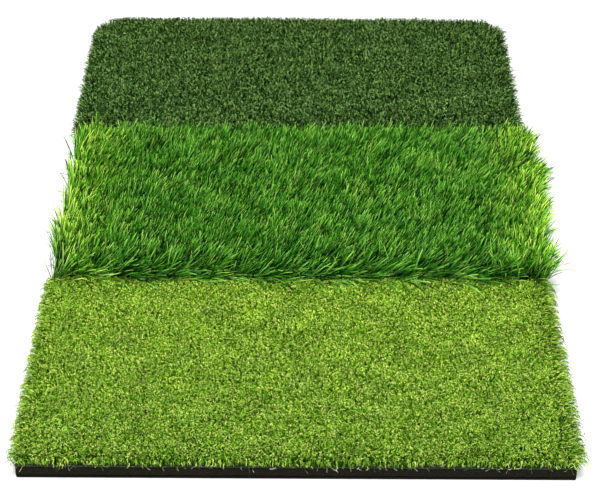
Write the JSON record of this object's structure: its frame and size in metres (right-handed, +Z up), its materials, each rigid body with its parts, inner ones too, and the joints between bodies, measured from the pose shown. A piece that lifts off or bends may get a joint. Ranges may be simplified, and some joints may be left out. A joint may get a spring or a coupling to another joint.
{
  "type": "golf hitting mat",
  "caption": "Rectangular golf practice mat with short, long and medium artificial turf strips side by side on a thin black foam and rubber base.",
  "frame": {"origin": "centre of the mat on the surface it lies on", "axes": "+X across the strips' length, to the right seen from the fairway end; +Y along the mat, from the light fairway strip to the dark tee strip; +Z up"},
  "size_m": [0.424, 0.641, 0.041],
  "materials": {
    "sole_rubber": "matte",
    "pad_foam": "matte",
    "glue": "satin",
    "join_tape": "matte",
    "latex": "matte",
    "backing_cloth": "matte",
    "fairway_yarn": "matte",
    "rough_yarn": "satin",
    "tee_yarn": "matte"
  },
  "bodies": {
    "root": {"rubber_sole": "sole_rubber", "sole_glue_film": "glue", "foam_pad": "pad_foam", "front_join_tape": "join_tape", "back_join_tape": "join_tape", "fairway_glue_film": "glue", "rough_glue_film": "glue", "tee_glue_film": "glue", "fairway_latex_coat": "latex", "rough_latex_coat": "latex", "tee_latex_coat": "latex", "fairway_backing_cloth": "backing_cloth", "rough_backing_cloth": "backing_cloth", "tee_backing_cloth": "backing_cloth", "fairway_pile": "fairway_yarn", "rough_pile": "rough_yarn", "tee_pile": "tee_yarn"}
  },
  "joints": []
}
